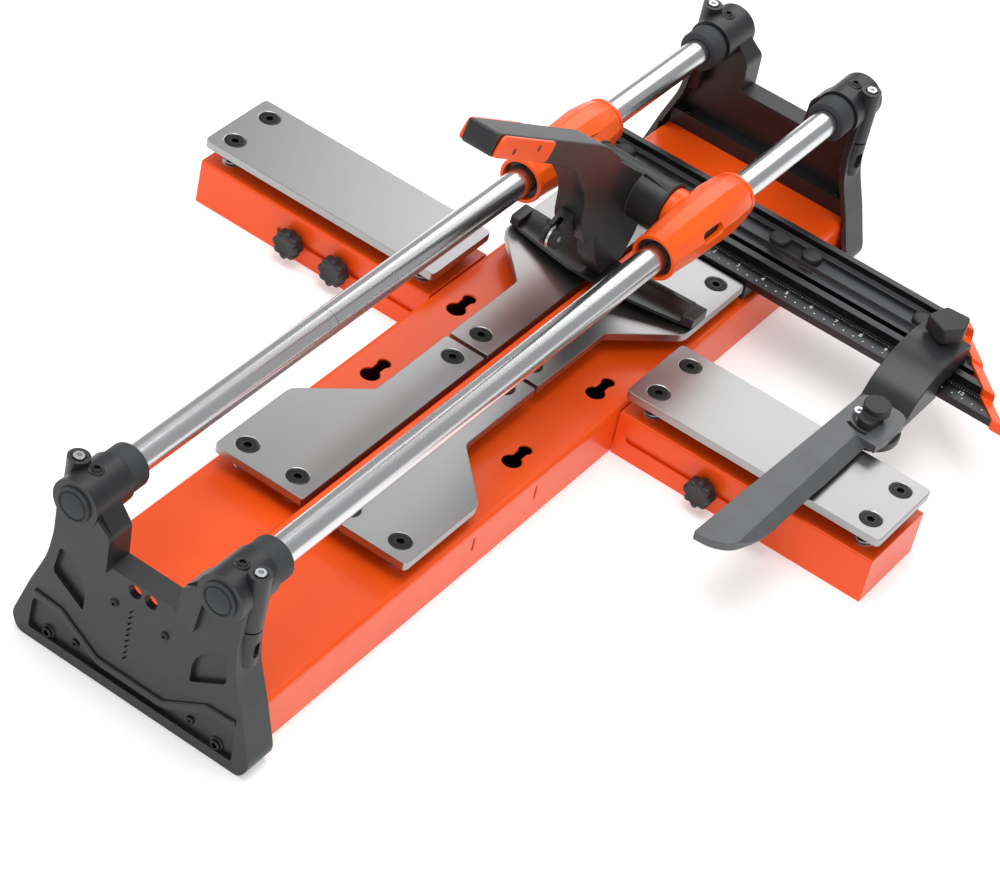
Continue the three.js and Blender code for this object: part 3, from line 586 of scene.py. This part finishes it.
lug_x = middle("clamp_bolt_front_right").x
tower_radius = (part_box("end_bracket_front")[1].z - rod_z) - 2.3 * MM
for end, outward, facing in (("front", -1, "-y"), ("rear", 1, "y")):
    low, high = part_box(f"end_bracket_{end}")
    wall_face = (low.y if outward < 0 else high.y) - outward * 5 * MM
    pocket = wall_face - outward * 3.9 * MM
    bolt_y = middle(f"clamp_bolt_{end}_left").y
    for side, sx in (("left", -1), ("right", 1)):
        tag = f"{end}_{side}"
        top = rod_z + tower_radius
        put("grub_screw_" + tag, grub_screw, black_oxide, "bench", at(sx * rod_x, bolt_y, top - 0.9 * MM))
        put("grub_collar_" + tag, collar, dark_casting, "bench", at(sx * rod_x, bolt_y, top - 0.5 * MM))
        ear = sorted((sx * (rod_x + 5 * MM), sx * lug_x))
        corners = [(ear[0], -6 * MM), (ear[1], -6 * MM), (ear[1], 6 * MM), (ear[0], 6 * MM)]
        web = put(
            "lug_web_" + tag, slab("lug_web_" + tag, corners, 17 * MM), dark_casting, "bench",
            at(0, bolt_y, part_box("clamp_bolt_" + tag)[1].z - 23 * MM), sharp=None,
        )
        rounded(web, 2.2, segments=4)
        for name, screw, metal, x, z, face in (
            ("saddle_screw_", pan_screw, black_oxide, 24, 88, wall_face),
            ("pocket_screw_", pan_screw, zinc_plate, 56, 20, pocket),
            ("pocket_boss_", collar, dark_casting, 82, 14, pocket),
            ("pocket_boss_screw_", grub_screw, black_oxide, 82, 14, pocket + outward * 0.6 * MM),
        ):
            put(name + tag, screw, metal, "bench", at(sx * x * MM, face, z * MM, facing))
shelf_x, shelf_y, shelf_top = 82 * MM, 440 * MM, 64 * MM
for side, sx in (("left", -1), ("right", 1)):
    put("shelf_screw_" + side, pan_screw, zinc_plate, "bench", at(sx * shelf_x, shelf_y, shelf_top))
print("bracket screws:", 4 * 6 + 2, "socket radius", round(tower_radius / MM, 1))

# %% [markdown]
# The rib steps down from both sides to the middle, and follows the top edge of the pocket.

# %% Rib over the pocket
brow = [(-97, 52), (-70, 50), (-32, 26), (32, 26), (70, 50), (97, 52)]
lower_brow = [(a, b - 6) for a, b in reversed(brow)]
rib = slab("pocket_rib", [(a * MM, b * MM) for a, b in brow + lower_brow], 2.6 * MM)
for end, outward in (("front", -1), ("rear", 1)):
    low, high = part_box(f"end_bracket_{end}")
    wall_face = (low.y if outward < 0 else high.y) - outward * 5 * MM
    place = Matrix.Translation(Vector((0, wall_face + (0.4 if outward < 0 else 2.2) * MM, 0)))
    place = place @ Matrix.Rotation(math.pi / 2, 4, "X")
    rounded(put("pocket_rib_" + end, rib.copy(), dark_casting, "bench", place, sharp=None), 1.2)

# %% [markdown]
# ## Rods, bumpers and caps
# The rods are the ways of the machine. A rubber bumper stands against each socket, with a groove near its
# outer end, and the socket's far end is closed by a pressed-in cap with a raised rim.

# %% Turned pieces on the rods
rod_length = (rod_high.y - rod_low.y) / MM
rod_r = rod_radius / MM
rod_mesh = spun(
    "guide_rod_turned",
    [(rod_r - 1, 0), (rod_r, 1), (rod_r, rod_length - 1), (rod_r - 1, rod_length)],
    sides=72,
)
for side, sx in (("left", -1), ("right", 1)):
    rod = put("guide_rod_turned_" + side, rod_mesh, hard_chrome, "bench", at(sx * rod_x, rod_low.y, rod_z, "y"))
    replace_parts(rod, "guide_rod_" + side)

for end, outward, inward in (("front", -1, "y"), ("rear", 1, "-y")):
    for side, sx in (("left", -1), ("right", 1)):
        tag = f"{end}_{side}"
        low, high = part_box("rod_bumper_" + tag)
        r = (high.z - low.z) / 2 / MM
        length = (high.y - low.y) / MM
        inner = rod_r + 0.3
        bumper = spun(
            "bumper_" + tag,
            [
                (inner, 0), (r - 2.2, 0), (r - 2.2, 1.6), (r, 1.8), (r, length - 1.8), (r - 0.5, length - 0.6),
                (r - 1.6, length), (inner + 0.4, length), (inner, length - 0.4),
            ],
            sides=64, closed=True,
        )
        start = low.y if outward < 0 else high.y
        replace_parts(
            put("bumper_" + tag, bumper, rubber, "bench", at(sx * rod_x, start, rod_z, inward)),
            "rod_bumper_" + tag,
        )
        low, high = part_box("socket_cap_" + tag)
        r = (high.z - low.z) / 2 / MM
        depth = (high.y - low.y) / MM
        cap = spun(
            "cap_" + tag,
            [
                (r, 0), (r, depth + 0.8), (r - 0.9, depth + 1.8), (r - 2.2, depth + 1.8),
                (r - 2.8, depth + 0.8), (r - 3.4, depth + 0.8), (r - 4.2, depth + 2.0), (r - 6.0, depth + 2.5),
            ],
            sides=64,
        )
        start = high.y if outward < 0 else low.y
        facing = "-y" if outward < 0 else "y"
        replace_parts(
            put("cap_" + tag, cap, rubber, "bench", at(sx * rod_x, start, rod_z, facing)),
            "socket_cap_" + tag,
        )
        low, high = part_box("clamp_bolt_" + tag)
        put(
            "clamp_bolt_head_" + tag, socket_screw, zinc_plate, "bench",
            at((low.x + high.x) / 2, (low.y + high.y) / 2, high.z - 2.8 * MM),
        )
        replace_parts(bpy.data.objects["clamp_bolt_head_" + tag], "clamp_bolt_" + tag)
print("rods, bumpers, caps and bolts:", 2 + 12)

# %% [markdown]
# The left rod is in two lengths, and their joint shows as a hairline round it.

# %% Joint line on the left rod
seam_y = -155 * MM
seam = spun("rod_joint_line", [(rod_r + 0.04, 0), (rod_r + 0.04, 0.35)], sides=72)
put("rod_joint_line", seam, black_oxide, "bench", at(-rod_x, seam_y, rod_z, "y"))

# %% [markdown]
# ## The sprung platform
# Each plate floats on coil springs, so a tile gives a little when the lever presses. The plates are dressed
# from their solids, which already hold the countersinks. A countersunk screw with a hex socket sits in each,
# and a spring stands under it.

# %% Screws, springs and their seats
plate_screw = spun(
    "plate_screw",
    [
        (3.2, -8), (3.2, -5.2), (5.8, -4.4), (9.7, -0.9), (9.7, -0.5), (9.3, -0.25), (6.9, -0.25), (6.6, -0.6),
        (6.0, -0.6), (5.7, -0.25), (hexagon(6.4), -0.25), (hexagon(6.2), -3.4),
    ],
)
spring_seat = spun("spring_seat", [(8.6, 0), (8.6, 0.8), (8.0, 1.2), (4.2, 1.2), (4.2, 0)], closed=True)
guide_sleeve = spun("guide_sleeve", [(4.4, 0), (4.4, 7.4), (4.0, 7.9)])


def coil(name, radius, wire, height, turns, steps=22, sides=8):
    """A compression spring standing on Z = 0; its first and last half turns lie flat."""
    shape = bmesh.new()
    count = int(turns * steps)
    loops = []
    for i in range(count + 1):
        turn = 2 * math.pi * i / steps
        rise = min(max((i - steps / 2) / (count - steps), 0), 1)
        z = wire / 2 + (height - wire) * rise
        out = Vector((math.cos(turn), math.sin(turn), 0))
        loop = []
        for k in range(sides):
            t = 2 * math.pi * k / sides
            p = out * (radius + wire / 2 * math.cos(t)) + Vector((0, 0, z + wire / 2 * math.sin(t)))
            loop.append(shape.verts.new(p * MM))
        loops.append(loop)
    for a, b in zip(loops, loops[1:]):
        for k in range(sides):
            shape.faces.new((a[k], a[(k + 1) % sides], b[(k + 1) % sides], b[k]))
    shape.faces.new(loops[0])
    shape.faces.new(loops[-1])
    bmesh.ops.recalc_face_normals(shape, faces=shape.faces)
    mesh = bpy.data.meshes.new(name)
    shape.to_mesh(mesh)
    shape.free()
    return mesh


tray_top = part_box("base_tray")[1].z
arm_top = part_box("side_arm_right")[1].z


def sprung_screws(plate, places, carrier, carrier_top):
    low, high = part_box(plate)
    space = (low.z - carrier_top) / MM
    for number, (x, y) in enumerate(places, 1):
        tag = f"{plate}_{number}"
        put("screw_" + tag, plate_screw, black_oxide, plate, at(x, y, high.z))
        put("sleeve_" + tag, guide_sleeve, black_oxide, carrier, at(x, y, carrier_top))
        put("seat_" + tag, spring_seat, zinc_plate, carrier, at(x, y, carrier_top + 0.05 * MM))
        spring = put(
            "spring_" + tag, coil("spring_" + tag, 7.6, 1.7, space - 1.6, 3.6), spring_steel, carrier,
            at(x, y, carrier_top + 1.3 * MM),
        )
        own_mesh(spring)
    return len(places)


# %% [markdown]
# Each centre plate has two screws at its wide end and one near the joint with the next plate.

# %% Centre plates
end_inset, side_inset, joint_inset = 19 * MM, 19.3 * MM, 18.3 * MM
narrow_middle = 19.85 * MM
made = 0
for end, outward in (("front", -1), ("rear", 1)):
    for side, sx in (("left", -1), ("right", 1)):
        plate = f"plate_{end}_{side}"
        dressed(plate, ground_steel, 0.7)
        low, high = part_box(plate)
        wide_end = (low.y if outward < 0 else high.y) - outward * end_inset
        joint_end = (high.y if outward < 0 else low.y) + outward * joint_inset
        inner = min(abs(low.x), abs(high.x))
        outer = max(abs(low.x), abs(high.x))
        places = [
            (sx * (outer - side_inset), wide_end),
            (sx * (inner + side_inset), wide_end),
            (sx * (inner + narrow_middle), joint_end),
        ]
        made += sprung_screws(plate, places, "bench", tray_top)

# %% [markdown]
# Each arm plate has four screws, and its springs ride with the arm, so that they move when it is pulled out.

# %% Arm plates
for side, sx in (("left", -1), ("right", 1)):
    plate = "arm_plate_" + side
    dressed(plate, ground_steel, 0.7)
    low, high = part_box(plate)
    centre = (low.y + high.y) / 2
    inner, outer = sorted((abs(low.x), abs(high.x)))
    places = [
        (sx * x, y)
        for x in (inner + 20.8 * MM, outer - side_inset)
        for y in (centre - 25 * MM, centre + 24 * MM)
    ]
    made += sprung_screws(plate, places, "side_arm_" + side, arm_top)
print("sprung screws:", made)

# %% [markdown]
# ## Star knobs
# The arms slide on inner rails and are locked by moulded star knobs with eight soft lobes. A lobed ring is a
# circle whose radius swings with a cosine; dishing the face and softening the rim makes it a moulding.

# %% Star knobs
def lobed(radius, depth, lobes=8):
    return lambda turn: radius - depth * (0.5 - 0.5 * math.cos(lobes * turn)) ** 1.5


for side in ("left", "right"):
    for which in ("inner", "outer"):
        node = f"star_knob_{side}_{which}"
        low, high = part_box(node)
        r = (high.x - low.x) / 2 / MM
        knob = spun(
            "star_" + node,
            [
                (3, 23), (3, 14.5), (7, 14.5), (7.4, 13), (lobed(r - 2.2, 1.4), 12.6),
                (lobed(r - 0.4, 2.4), 11.2), (lobed(r, 2.6), 9.8), (lobed(r, 2.6), 3.2),
                (lobed(r - 0.5, 2.5), 1.4), (lobed(r - 2.0, 2.0), 0.4), (r - 5.2, 0),
                (r - 6.0, 0.6), (2.6, 0.9),
            ],
            sides=96,
        )
        piece = put(
            "star_" + node, knob, nylon, node, at(middle(node).x, low.y, middle(node).z, "y"), sharp=50
        )
        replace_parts(piece, node)
print("star knobs: 4")

# %% [markdown]
# ## The ruler
# The fence is one black anodised extrusion: a scale in front, a slot for the stop's clamp, and a floor where
# four low bolts hold it down. The scale is printed in white, a dot for each centimetre and a numeral for each
# inch, so the numerals are generic.

# %% Ruler bar, caps and feet
dressed("ruler_bar", anodised, 0.35)
for side in ("left", "right"):
    dressed("ruler_cap_" + side, orange_abs, 0.7)
    dressed("ruler_foot_" + side, nylon, 0.8)
for number in range(1, 5):
    node = f"ruler_bolt_{number}"
    low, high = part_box(node)
    r = (high.x - low.x) / 2 / MM
    bolt = spun(
        "bolt_" + node,
        [(r, 0), (r, 3.0), (r - 0.4, 3.9), (r - 1.4, 4.5), (r - 4.0, 4.9), (1.5, 5.0)],
        sides=64,
    )
    piece = put("bolt_" + node, bolt, nylon, "bench", at(middle(node).x, middle(node).y, low.z), sharp=50)
    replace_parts(piece, node)

# %% [markdown]
# Every mark is gathered into one mesh, which lies just clear of the extrusion so that the two never flicker.

# %% Printed scale
bar_low, bar_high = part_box("ruler_bar")
scale_top = bar_low.z + 7.5 * MM
marks = bmesh.new()


def print_on_scale(mesh, x, y):
    mesh.transform(Matrix.Translation(Vector((x, y, scale_top + 0.02 * MM))))
    marks.from_mesh(mesh)
    bpy.data.meshes.remove(mesh)


centimetre, inch, first_mark = 10 * MM, 25.4 * MM, 90.65 * MM
dots = [first_mark + centimetre * i for i in range(-18, 25)]
for x in dots:
    print_on_scale(spun("dot", [(0.75, 0), (0.75, 0.08)], sides=12), x, bar_low.y + 5.8 * MM)
for number in range(1, 13):
    text = bpy.data.curves.new("numeral", "FONT")
    text.body, text.size, text.extrude, text.align_x = str(number), 6.2 * MM, 0.03 * MM, "CENTER"
    holder = bpy.data.objects.new("numeral", text)
    scene.collection.objects.link(holder)
    bpy.context.view_layer.update()
    numeral = bpy.data.meshes.new_from_object(holder.evaluated_get(bpy.context.evaluated_depsgraph_get()))
    bpy.data.objects.remove(holder)
    print_on_scale(numeral, first_mark - inch / 2 + inch * (number - 3), bar_low.y + 9.5 * MM)
for i in range(-36, 96):
    x = first_mark + 2.54 * MM * i
    if bar_low.x + 4 * MM < x < bar_high.x - 4 * MM:
        tall = 2.2 if i % 5 == 0 else 1.2
        half = 0.12 * MM
        tick = slab("tick", [(-half, 0), (half, 0), (half, tall * MM), (-half, tall * MM)], 0.06 * MM)
        print_on_scale(tick, x, bar_low.y + 18.2 * MM - tall * MM)
scale_mesh = bpy.data.meshes.new("printed_scale")
marks.to_mesh(scale_mesh)
marks.free()
put("printed_scale", scale_mesh, white_print, "bench", sharp=None)
print("scale:", len(dots), "centimetre dots and 12 inch numerals")

# %% [markdown]
# ## The swinging stop
# A curved casting rides on the fence, and a thin blade with one bevelled side turns on it, so that tiles can be
# cut at an angle. A wedge-shaped handle clamps the casting, and a round knob with a short wing holds the angle.

# %% Stop castings
dressed("stop_slider", stop_casting, 1.0, from_angle=40)
dressed("stop_blade", blade_casting, 0.4)
dressed("stop_clamp", nylon, 1.6)
dressed("stop_wing_knob", nylon, 0.9)
pivot = middle("stop_wing_knob")
blade_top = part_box("stop_blade")[1].z
put(
    "stop_limit_screw", socket_screw, zinc_plate, "stop_slider",
    at(pivot.x - 12.5 * MM, pivot.y + 1 * MM, blade_top - 0.4 * MM),
)
# The thin dark crescent laid on the blade is painted shade. It stands in for the shade inside the swing slot.
arc = [math.radians(a) for a in range(195, 266, 7)]
crescent = [(16.2, a) for a in arc] + [(12.6, a) for a in reversed(arc)]
swing_slot_shade = slab("swing_slot_shade", [(r * math.cos(a) * MM, r * math.sin(a) * MM) for r, a in crescent], 0.12 * MM)
put("swing_slot_shade", swing_slot_shade, rubber, "stop_blade", at(pivot.x, pivot.y, blade_top + 0.02 * MM))

# %% [markdown]
# ## The carriage and the lever
# Two faceted housings slide on the rods on long black bushes. An axle across them carries the lever: a
# gooseneck casting with the grip in front, the cutting wheel below, and the broad foot that breaks the tile.

# %% Housings and bushes
# A round rim closes each end of a housing, where its facets meet the bush.
bush_low, bush_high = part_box("rod_bush_right")
bush_r = (bush_high.z - bush_low.z) / 2 / MM
rim = spun(
    "housing_rim",
    [
        (bush_r + 0.35, 4), (bush_r + 0.35, 0.3), (bush_r + 0.7, 0), (bush_r + 2.8, 0),
        (bush_r + 3.7, 0.9), (bush_r + 3.9, 4),
    ],
    sides=72, closed=True,
)
for side, sx in (("left", -1), ("right", 1)):
    dressed("bearing_housing_" + side, orange_casting, 1.1, from_angle=18)
    dressed("rod_bush_" + side, nylon, 0.4)
    low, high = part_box("bearing_housing_" + side)
    for end, y, facing in (("front", low.y - 0.5 * MM, "y"), ("rear", high.y + 0.5 * MM, "-y")):
        put(f"housing_rim_{side}_{end}", rim, orange_casting, "carriage", at(sx * rod_x, y, rod_z, facing))
dressed("cross_axle", zinc_plate, 0.5)

# %% [markdown]
# The lever turns about the axle between the housings, and a nylon collar closes each end of its hub.

# %% Lever and wheel
dressed("handle_lever", dark_casting, 1.3, from_angle=28)
dressed("wheel_holder", stop_casting, 0.6)
dressed("wheel_pin", zinc_plate, 0.3)
dressed("cutting_wheel", spring_steel, 0.15)
hub = middle("cross_axle")
hub_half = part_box("handle_lever")[1].x / MM
ring = spun(
    "hub_collar", [(13, 0), (23.6, 0), (24.0, 0.4), (24.0, 2.2), (23.4, 2.8), (13, 2.8)], sides=72, closed=True,
)
for side, axis, sx in (("left", "-x", -1), ("right", "x", 1)):
    put("hub_collar_" + side, ring, nylon, "lever", at(sx * (hub_half - 2.4) * MM, hub.y, hub.z, axis))

# %% [markdown]
# Two inserts are pinned into the sides of the grip. At each pin a dark red disc, just proud of the insert, is
# painted shade that stands in for the shade inside the pin hole.

# %% Grip inserts
# Each dark red disc is painted shade for the inside of a pin hole.
painted_hole_shade = spun("painted_hole_shade", [(2.9, -0.6), (2.9, 0.05), (2.5, 0.12)], sides=24)
for side, sx, axis in (("left", -1, "-x"), ("right", 1, "x")):
    dressed("grip_insert_" + side, orange_abs, 0.9)
    low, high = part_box("grip_insert_" + side)
    face = low.x if sx < 0 else high.x
    for number, share in enumerate((0.3, 0.72), 1):
        y = low.y + (high.y - low.y) * share
        z = high.z - 10 * MM - (high.z - low.z - 20 * MM) * share
        put(f"grip_pin_hole_{side}_{number}", painted_hole_shade, painted_shade_abs, "lever", at(face, y, z, axis))

# %% [markdown]
# The breaking foot is a scooped moulding: its underside follows an arc about the axle, so it rolls down on to
# the tile; the scoop runs up to a ridge along the back, and a block closes each end.

# %% Breaking foot
foot_low, foot_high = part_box("breaker_foot")
reach = hub.z - foot_low.z


def across_foot(x):
    """Corners (y, z) of the foot at a distance x from its middle, all in metres."""
    out = max(abs(x) - 12 * MM, 0) / (foot_high.x - 12 * MM)
    front = foot_low.y + 25.5 * MM * out
    rear = foot_low.y + (34.5 + 14.5 * out) * MM
    ridge_top = foot_high.z - 7.8 * MM * max(0, (abs(x) - 20 * MM) / (foot_high.x - 18 * MM))
    end_block = abs(x) > foot_high.x - 11 * MM
    toe = hub.z - math.sqrt(reach**2 - (front - hub.y) ** 2) + (3.2 * MM if not end_block else 0)
    corners = []
    for i in range(9):
        y = front + (rear - front) * i / 8
        corners.append((y, hub.z - math.sqrt(reach**2 - (y - hub.y) ** 2)))
    if end_block:
        corners.append((rear, ridge_top))
        corners.append((rear - 4 * MM, ridge_top + 0.4 * MM))
        corners.append((front + 1 * MM, ridge_top - 0.2 * MM))
        return corners + [(front, max(toe, corners[0][1]) + 1 * MM)]
    corners += [(rear, ridge_top), (rear - 4.5 * MM, ridge_top)]
    for i in range(6):
        t = (i + 1) / 7
        y = rear - 4.5 * MM + (front - rear + 4.5 * MM) * t
        straight = ridge_top + (toe - ridge_top) * t
        corners.append((y, max(straight - 2.4 * MM * math.sin(math.pi * t), toe - 1.4 * MM)))
    return corners + [(front, min(toe, ridge_top - 0.5 * MM))]


def lofted(name, sections):
    """A closed body through sections that hold the same number of (x, y, z) corners."""
    shape = bmesh.new()
    loops = [[shape.verts.new(corner) for corner in section] for section in sections]
    for a, b in zip(loops, loops[1:]):
        for i in range(len(a)):
            j = (i + 1) % len(a)
            shape.faces.new((a[i], a[j], b[j], b[i]))
    shape.faces.new(loops[0])
    shape.faces.new(loops[-1])
    bmesh.ops.recalc_face_normals(shape, faces=shape.faces)
    mesh = bpy.data.meshes.new(name)
    shape.to_mesh(mesh)
    shape.free()
    return mesh


wing_end = foot_high.x - 11.1 * MM
stations = [wing_end * i / 12 for i in range(-12, 13)]
scoop = lofted("foot_scoop", [[(x, y, z) for y, z in across_foot(x)] for x in stations])
scoop_piece = put("foot_scoop", scoop, foot_nylon, "lever", sharp=30)
for side, sx in (("left", -1), ("right", 1)):
    sections = []
    for out in (wing_end + 0.2 * MM, foot_high.x - 5 * MM, foot_high.x):
        sections.append([(sx * out, y, z) for y, z in across_foot(sx * out)])
    block = put("foot_end_" + side, lofted("foot_end", sections), foot_nylon, "lever", sharp=None)
    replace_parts(rounded(block, 1.0), "breaker_foot")
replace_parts(scoop_piece, "breaker_foot")

# %% [markdown]
# The last step measures the dressed model and prints its size.

# %% Measure and finish
low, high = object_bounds()
print("visual model:", [round(v / MM, 1) for v in (high - low)], "mm")
